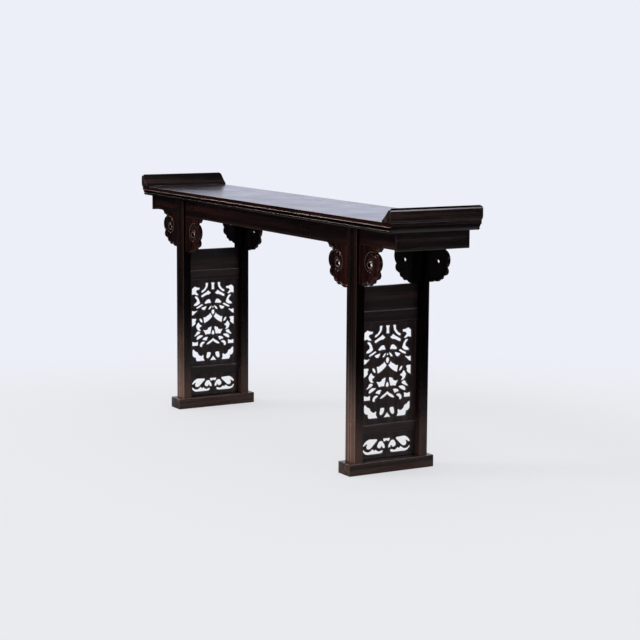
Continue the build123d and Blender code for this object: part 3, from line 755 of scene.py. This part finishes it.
def long_apron(name, side):
    """A board along x whose rim is scaled by a mask: 1 free of the spandrels, 0 on them."""
    fade, step, crest_wear = 4, 0.5, 0.25
    outer_root, inner_root = leg_x + spandrel_reach, leg_x - spandrel_reach
    half_x = np.array([inner_root - fade, inner_root, inner_root + fade, leg_x - step, leg_x + step,
                       outer_root - fade, outer_root, outer_root + fade, apron_high[0]])
    half_mask = np.array([1, 0, 0, 0, 0, 0, 0, 1, 1], float)
    x = np.concatenate([-half_x[::-1], half_x])
    mask = np.concatenate([half_mask[::-1], half_mask])
    bottom = np.where(np.abs(x) < leg_x, hang["inner"], hang["outer"])
    face, back = -apron_low[1], -apron_high[1]
    front_z = np.concatenate([np.linspace(0, 1.5, 5), np.linspace(2.2, 10, 12), [14]])
    front_out = rim_height(front_z)
    front_out[-1] = 0
    ring_z = np.concatenate([front_z, [0, 0, 0]])[None] + bottom[:, None]
    ring_z[:, -3:-1] = apron_high[2]
    rings = np.empty((len(x), ring_z.shape[1], 3))
    rings[:, :, 0] = x[:, None]
    rings[:, :, 1] = side * face
    rings[:, :len(front_z), 1] += side * mask[:, None] * front_out
    rings[:, -2:, 1] = side * back
    rings[:, :, 2] = ring_z
    wear_and_painted_light = np.zeros(rings.shape[:2])
    wear_and_painted_light[:, 4:8] = crest_wear * mask[:, None]  # the bead's crest
    return skin(name, rings, "apron", wear_and_painted_light)


long_apron("apron_front", -1)
long_apron("apron_back", 1)
print("long aprons", apron_high[0] * 2, "mm")

# %% End aprons
for name, easings in (("apron_left", (2.5, 0.4, 0.4, 0.4)), ("apron_right", (0.4, 2.5, 0.4, 0.4))):
    low, high = box_mm(name)
    bar(name, "y", block_corners(low, high, "y", easings), low[1], high[1], "apron_end", 1.2)
print("end aprons done")

# %% [markdown]
# ## Legs
# The front face of each leg has a pair of beads down its middle, with a sharp vee between them, and a
# rounded bead along each edge. The profile is drawn once and mirrored for the other legs; it is
# carried from the shoe to the underside of the frame. The lower part is painted paler, most of all on
# the crests of the front face: a painted reflection of the lit floor. Higher up, the arrises are
# painted less pale and the sides are painted dark, a painted shade.

# %% Legs
leg_round = 3.5
edge_wide, edge_vee_wide, edge_vee_deep = 9.5, 2.4, 1.2
twin_wide, twin_proud, twin_gap, twin_vee = 11.5, 1.5, 2.0, 1.0
# Heights of the painted gradient: how pale the front and the sides are painted low down, and how dark
# the sides are painted high up.
painted_from, painted_to, front_painted_reflection = 80, 420, 0.9
crest_deep, front_deep, edges_lost = 3, 4.5, 0.8
side_painted_reflection, sides_painted_shade = 0.3, 0.85


def leg(name):
    """The leg's profile in plan, front side outward, carried up from the shoe."""
    low, high = box_mm(name)
    half, middle = (high[0] - low[0]) / 2, (high[0] + low[0]) / 2
    side = -1 if low[1] < 0 else 1
    back, face = np.sort(np.abs([low[1], high[1]]))
    flat_face = face - twin_proud
    near, far = twin_gap / 2, twin_gap / 2 + twin_wide
    vee = half - edge_wide - edge_vee_wide * np.array([0, 0.5, 1])
    vee_depth = flat_face - np.array([0, edge_vee_deep, 0])
    edge_vee = np.column_stack([vee, vee_depth, [0.5, 0.3, 0.5]])
    right_bead = arc((far, flat_face), (near, flat_face), -twin_proud, 9)
    corners = np.concatenate([
        [(-half, back, 0.8), (half, back, 0.8), (half, flat_face, leg_round)], edge_vee,
        with_easing(right_bead), [(0, flat_face - twin_vee, 0)],
        with_easing(right_bead[::-1] * [-1, 1]), edge_vee[::-1] * [-1, 1, 1],
        [(-half, flat_face, leg_round)],
    ])
    corners[:, 0] += middle
    corners[:, 1] *= side
    between = np.linspace(painted_from, painted_to, 7)

    # Painted reflection of the lit floor on the lower legs, and painted shade on their sides higher up.
    def light_painting(rings, wear_and_painted_light):
        depth = np.abs(rings[:, :, 1])
        high_up = smoothstep(painted_from, painted_to, rings[:, :, 2])
        crest = np.clip((depth - face + crest_deep) / crest_deep, 0, 1)
        front = wear_and_painted_light * (1 - edges_lost * high_up) + front_painted_reflection * crest * (1 - high_up)
        sides = side_painted_reflection * (1 - high_up) - sides_painted_shade * high_up
        return np.where(depth > face - front_deep, np.minimum(1, front), sides)

    return bar(name, "z", corners, shoe_high[2], frame_under, "leg", 0.4, between, light_painting)


shoe_high = box_mm("shoe_right")[1]
for across in ("left", "right"):
    for depth in ("front", "back"):
        leg(f"leg_{depth}_{across}")
print("legs", leg_high[0] - leg_low[0], "mm wide")

# %% [markdown]
# ## Shoes, rails and boards
# The shoes are plain blocks with a rounded upper arris. The rails between the legs have a bevel all
# round, and the board above the upper rail is flat. Rails and boards run a little way into the legs,
# where the real ones have their tenons and tongues.

# %% Shoes, rails and boards
into_leg = 5
for across in ("left", "right"):
    low, high = box_mm(f"shoe_{across}")
    bar(f"shoe_{across}", "y", block_corners(low, high, "y", (0.6, 0.6, 2.2, 2.2)),
        low[1], high[1], "shoe", 1.4)
    inner_leg = abs(box_mm(f"leg_front_{across}")[1][1])
    # The tongue on the board's lower edge, 5 mm high, is hidden in the rail and left out.
    for kind, easing, tongue in (("upper_rail", 3.0, 0), ("lower_rail", 3.0, 0),
                                 ("side_board", 0.6, 5)):
        low, high = box_mm(f"{kind}_{across}")
        low[2] += tongue
        bar(f"{kind}_{across}", "y", block_corners(low, high, "y", easing),
            -inner_leg - into_leg, inner_leg + into_leg, "rail", 0.4)
print("shoes", shoe_high[1] * 2, "mm long")

# %% [markdown]
# ## How the carving is made
# A carver saws the openings first and then works every edge back from them. That is how it is made
# here too. The outline of each carved board is read from the CAD piece, and for every point of its
# face the distance to the nearest sawn edge is measured. The depth of the carving is then one
# function of that distance: rounded over at the edge, a ridge, a vein, and the ground.

# %% Read the outline of a board
SIDE_PLANES = {"x": (1, 2), "y": (0, 2)}
MOST_AT_ONCE = 4_000_000


def single_edges(triangles):
    """Edges that only one triangle has, as pairs of point numbers."""
    edges = np.sort(triangles[:, [0, 1, 1, 2, 2, 0]].reshape(-1, 2), axis=1)
    edges, count = np.unique(edges, axis=0, return_counts=True)
    return edges[count == 1]


def sawn_outline(node, axis):
    """Boundary of a CAD piece's flat face, as segments between two points each."""
    mesh = nodes[node].data
    points = np.empty(len(mesh.vertices) * 3)
    mesh.vertices.foreach_get("co", points)
    points = np.round(points.reshape(-1, 3) / MM, 3)
    triangles = triangles_of(mesh)
    depth = points[:, "xyz".index(axis)]
    face = triangles[np.all(depth[triangles] > depth.max() - 0.01, axis=1)]
    flat_points, index = np.unique(points[:, SIDE_PLANES[axis]], axis=0, return_inverse=True)
    edges = single_edges(index.reshape(-1)[face])
    return flat_points[edges[edges[:, 0] != edges[:, 1]]]


def portions(points, segments):
    """The points in portions small enough to be held against all the segments at once."""
    return np.array_split(points, max(1, len(points) * len(segments) // MOST_AT_ONCE))


def edge_distance(points, segments):
    """Distance of each point to the nearest segment: to its foot, kept between the two ends."""
    start, run = segments[:, 0], segments[:, 1] - segments[:, 0]
    length = np.maximum(np.einsum("ij,ij->i", run, run), 1e-9)
    nearest = []
    for some in portions(points, segments):
        away = some[:, None] - start[None]
        t = np.clip(np.einsum("ijk,jk->ij", away, run) / length, 0, 1)
        gap = away - t[..., None] * run[None]
        nearest.append(np.sqrt(np.einsum("ijk,ijk->ij", gap, gap).min(axis=1)))
    return np.concatenate(nearest)


def inside(points, segments):
    """True where a line going up from the point crosses the outline an odd number of times."""
    (x0, y0), (x1, y1) = segments[:, 0].T, segments[:, 1].T
    found = []
    for some in portions(points, segments):
        x, y = some[:, :1], some[:, 1:]
        spans = (x0 > x) != (x1 > x)
        height = y0 + (x - x0) * (y1 - y0) / np.where(x1 == x0, 1, x1 - x0)
        found.append(np.sum(spans & (height > y), axis=1) % 2 == 1)
    return np.concatenate(found)


print("face planes:", SIDE_PLANES)

# %% Lay a net of triangles over a board
ROW_HEIGHT = 0.866  # of triangles whose sides are 1 long
ROW_CLEAR, GRID_CLEAR = 0.93, 0.5


def divided(segments, step):
    """Each segment cut into equal parts no longer than step."""
    length = np.linalg.norm(segments[:, 1] - segments[:, 0], axis=1)
    parts = np.maximum(1, np.ceil(length / step).astype(int))
    owner = np.repeat(np.arange(len(segments)), parts)
    number = np.arange(len(owner)) - np.repeat(np.cumsum(parts) - parts, parts)
    share = np.stack([number, number + 1], axis=1) / parts[owner][:, None]
    start, run = segments[owner, 0], segments[owner, 1] - segments[owner, 0]
    return start[:, None] + share[..., None] * run[:, None]


def net(segments, step, margins):
    """Triangles over an outline: the outline, rows at the given margins, and an even grid.

    Returns the points, the triangles and the outline's edges as pairs of point numbers.
    """
    fine = divided(segments, step)
    rim_points, rim_edges = np.unique(np.round(fine.reshape(-1, 2), 3), axis=0, return_inverse=True)
    rim_edges = rim_edges.reshape(-1, 2)
    rim_edges = rim_edges[rim_edges[:, 0] != rim_edges[:, 1]]
    run = fine[:, 1] - fine[:, 0]
    normal = np.stack([run[:, 1], -run[:, 0]], axis=1) / np.linalg.norm(run, axis=1)[:, None]
    middle = fine.mean(axis=1)
    rows = [rim_points]
    for margin in margins:
        row = np.concatenate([middle + margin * normal, middle - margin * normal])
        row = row[inside(row, segments)]
        rows.append(row[edge_distance(row, segments) > ROW_CLEAR * margin])
    low, high = segments.reshape(-1, 2).min(axis=0), segments.reshape(-1, 2).max(axis=0)
    x, y = np.meshgrid(np.arange(low[0], high[0], step),
                       np.arange(low[1], high[1], step * ROW_HEIGHT))
    x[1::2] += step / 2
    grid = np.stack([x.ravel(), y.ravel()], axis=1)
    grid = grid[inside(grid, segments)]
    rows.append(grid[edge_distance(grid, segments) > margins[-1] + GRID_CLEAR * step])
    cloud = np.concatenate(rows)
    made = delaunay_2d_cdt(cloud.tolist(), rim_edges.tolist(), [], 0, 1e-4)
    points = np.array([tuple(p) for p in made[0]])
    triangles = np.array(made[2])
    centres = points[triangles].mean(axis=1)
    triangles = triangles[inside(centres, segments)]
    return points, triangles, single_edges(triangles)


def two_sided(net_parts, front, back):
    """Front and back surface over one net, joined by walls along its edges.

    Returns the flat points, the depth of each one and the faces.
    """
    points, triangles, edges = net_parts
    count = len(points)
    # The wall follows the direction in which the front triangle runs along the edge.
    directed = triangles[:, [0, 1, 1, 2, 2, 0]].reshape(-1, 2)
    key = directed[:, 0] * count + directed[:, 1]
    forward = np.isin(edges[:, 0] * count + edges[:, 1], key)
    start, end = np.where(forward[:, None], edges, edges[:, ::-1]).T
    walls = np.stack([end, start, start + count, end + count], axis=1)
    faces = triangles.tolist() + (triangles[:, ::-1] + count).tolist() + walls.tolist()
    return np.tile(points, (2, 1)), np.concatenate([front, back]), faces


print("carving helpers ready")

# %% [markdown]
# ## Pierced carvings
# Between the legs stand two tall and two low boards of openwork, cloud scrolls and leaves. The strips
# between the openings are rounded over, with a vein cut along both sides of the wider ones. Both
# faces are carved, because the panel is seen from inside the table too. A strip along the foot of
# each board is painted dark: painted shade where it meets the part below it.

# %% Pierced carvings
round_over, carve_step, carve_rows = 1.6, 2.0, (0.35, 0.9, 1.6)
vein_at, vein_wide, vein_deep, border_share, scroll_share = 4.6, 0.8, 0.7, 0.8, 0.4
swell_pitch, swell_deep, swell_fade = 4.6, 0.45, 14
leg_edge, rail_edge, border_from = 8, 6, 92.5
rubbed_at, rubbed_wide, rubbed_most = 1.0, 0.8, 0.8
# How dark and how high the foot of each board is painted: painted shade.
carving_foot_painted_shade, painted_shade_high = -0.8, {"tall_carving": 4, "low_carving": 10}


def scroll_height(distance, border):
    """Height of the carving against the board's face, from the distance to the sawn edge.

    Rounded over within round_over of the edge, then a swell that rises and falls once in
    swell_pitch and dies away inside wide parts; the plain border has only the rounding and a vein.
    """
    edge = np.clip(1 - distance / round_over, 0, 1)
    fall = -round_over * (1 - np.sqrt(1 - edge ** 2))
    vein = -vein_deep * np.exp(-((distance - vein_at) / vein_wide) ** 2)
    wave = np.cos(2 * np.pi * (distance - swell_pitch / 2) / swell_pitch) - 1
    swell = swell_deep * wave * np.exp(-distance / swell_fade)
    return fall + np.where(border, border_share * vein, swell + scroll_share * vein)


def pierced_board(kind):
    """One net for both sides of the table: the left board is the right one mirrored."""
    low, high = box_mm(f"{kind}_right")
    segments = sawn_outline(f"{kind}_right", "x")
    parts = net(segments, carve_step, carve_rows)
    points = parts[0]
    rim = np.abs(segments[..., 0]).max(axis=1) > high[1] - leg_edge
    rim |= segments[..., 1].max(axis=1) > high[2] - rail_edge
    rim |= segments[..., 1].min(axis=1) < low[2] + rail_edge
    distance = edge_distance(points, segments[~rim])
    height = scroll_height(distance, np.abs(points[:, 0]) > border_from)
    half, middle = (high[0] - low[0]) / 2, (high[0] + low[0]) / 2
    flat, depth, faces = two_sided(parts, half + height, -half - height)
    worn_and_painted_light = rubbed_most * np.exp(-((distance - rubbed_at) / rubbed_wide) ** 2)
    # The foot of the board is painted dark, a painted shade.
    worn_and_painted_light = np.where(points[:, 1] < low[2] + painted_shade_high[kind], carving_foot_painted_shade, worn_and_painted_light)
    for across, side in (("right", 1), ("left", -1)):
        placed = np.column_stack([side * middle + side * depth, flat])
        add_piece(f"{kind}_{across}", placed, faces, "carving", np.tile(worn_and_painted_light, 2), crease=60)
    print(kind, len(parts[1]) * 2, "triangles")


pierced_board("tall_carving")
pierced_board("low_carving")

# %% [markdown]
# ## Cloud spandrels
# Eight small brackets fill the corners between legs and aprons. Each is a cloud head: a gently swelling
# body with a bead along its rim, and one deep groove that starts at the upper cusp, runs over the top
# and winds into the pierced eye. The turns of the groove shrink by the same share each time, which is
# a logarithmic spiral, the curve that a carver gets by eye. Its walls are steep, and they are what
# catches the light. What stands high is painted paler, a painted highlight. What lies deep is painted
# darker, a painted shade that also dulls the gloss.

# %% Volute
eye_out, eye_down = 105.0, 62.0
groove_start, shrink_per_turn = 47.0, 0.43
start_angle = math.radians(20)
groove_deep, shallows, groove_wide, narrows = 4.6, 0.85, 2.3, 0.7
wide_start, wide_until, start_fade, eye_clear = 0.7, 2.4, 0.6, (2, 5)
swell_high, swell_radius, ridge_high, ridge_wide, ridge_off = 1.6, 38.0, 2.2, 1.4, 1.6
ridge_begins, ridge_ends = (0.8, 1.3), (3.5, 4.5)


def volute_height(out, rise):
    """Height of the cloud head against the board's face.

    The swell is a bell curve round the eye. The groove lies at r = groove_start * shrink^turns, with
    turns counted from the horizontal. At the distance e from that line it is
    groove_deep * exp(-|e / width|^1.6) deep, and it gets narrower and shallower with the turns. It
    begins wide, and a ridge runs along its outer side over the top.
    """
    dx, dz = out - eye_out, rise + eye_down
    radius = np.hypot(dx, dz)
    angle = np.mod(np.arctan2(dz, dx) - start_angle, 2 * np.pi) + start_angle
    height = swell_high * np.exp(-(radius / swell_radius) ** 2)
    for turn in range(2):
        turns = angle / (2 * np.pi) + turn
        away = radius - groove_start * shrink_per_turn ** turns
        width = groove_wide * narrows ** turns
        begun = 1.0
        if turn == 0:
            width *= 1 + wide_start - wide_start * smoothstep(start_angle, wide_until, angle)
            begun = smoothstep(start_angle, start_angle + start_fade, angle)
            over_the_top = smoothstep(*ridge_begins, angle) * (1 - smoothstep(*ridge_ends, angle))
            beside = np.exp(-((away - ridge_off * width) / ridge_wide) ** 2)
            height += over_the_top * ridge_high * beside
        height -= begun * groove_deep * shallows ** turns * np.exp(-np.abs(away / width) ** 1.6)
    return height * smoothstep(*eye_clear, radius)


print("groove radii", (groove_start * shrink_per_turn ** np.arange(3)).round(1))

# %% Spandrels
hang_share = {"inner": 0.99, "outer": 0.95}
eye_share, eye_reach = 0.85, 22
spandrel_step, spandrel_rows = 1.4, (0.35, 0.9, 1.5)
rim_share, rim_begins, carving_begins = 1.2, (0.3, 4), (0.5, 3.0)
back_round, back_wide, apron_edge = 0.8, 1.2, -0.5
# How high a crest is painted pale, a painted highlight, and how deep a hollow is painted dark, a
# painted shade.
crest, crest_painted_highlight, hollow, hollow_painted_shade = (1.3, 2.4), 0.6, (0.4, 2.2), 0.9

segments = sawn_outline("spandrel_back_right_outer", "y") - [leg_x, apron_low[2]]
leg_half = (leg_high[0] - leg_low[0]) / 2
eye = np.array([eye_out, -eye_down])
of_eye = np.linalg.norm(segments - eye, axis=2).max(axis=1) < eye_reach
eye_middle = segments[of_eye].reshape(-1, 2).mean(axis=0)
segments[of_eye] = eye_middle + (segments[of_eye] - eye_middle) * eye_share
at_root = (segments[..., 0].max(axis=1) < leg_half) | (segments[..., 1].min(axis=1) > apron_edge)
parts = net(segments, spandrel_step, spandrel_rows)
points = parts[0]
to_rim = edge_distance(points, segments[~at_root])
front_shape = rim_share * rim_height(to_rim) * smoothstep(*rim_begins, -points[:, 1])
front_shape += volute_height(points[:, 0], points[:, 1]) * smoothstep(*carving_begins, to_rim)
back_shape = -back_round * np.clip(1 - to_rim / back_wide, 0, 1) ** 2
face, back = -apron_low[1], -apron_high[1]
# Painted highlight on what stands high, and painted shade in what lies deep.
worn_and_painted_light = crest_painted_highlight * smoothstep(*crest, front_shape)
worn_and_painted_light -= hollow_painted_shade * smoothstep(*hollow, -front_shape)
flat, level, faces = two_sided(parts, face + front_shape, back - back_shape)
for depth, outward in (("front", -1), ("back", 1)):
    for across, side in (("right", 1), ("left", -1)):
        for where, away in (("outer", 1), ("inner", -1)):
            placed = np.column_stack([side * (leg_x + away * flat[:, 0]), outward * level,
                                      hang[where] + hang_share[where] * flat[:, 1]])
            # The back spandrels get the darker finish, a painted shade.
            finish = "spandrel" if depth == "front" else "spandrel_back"
            add_piece(f"spandrel_{depth}_{across}_{where}", placed, faces, finish,
                      np.concatenate([worn_and_painted_light, 0 * worn_and_painted_light]), crease=60)
print("spandrels", len(parts[1]) * 2, "triangles each,", int(of_eye.sum()), "edges round the eye")
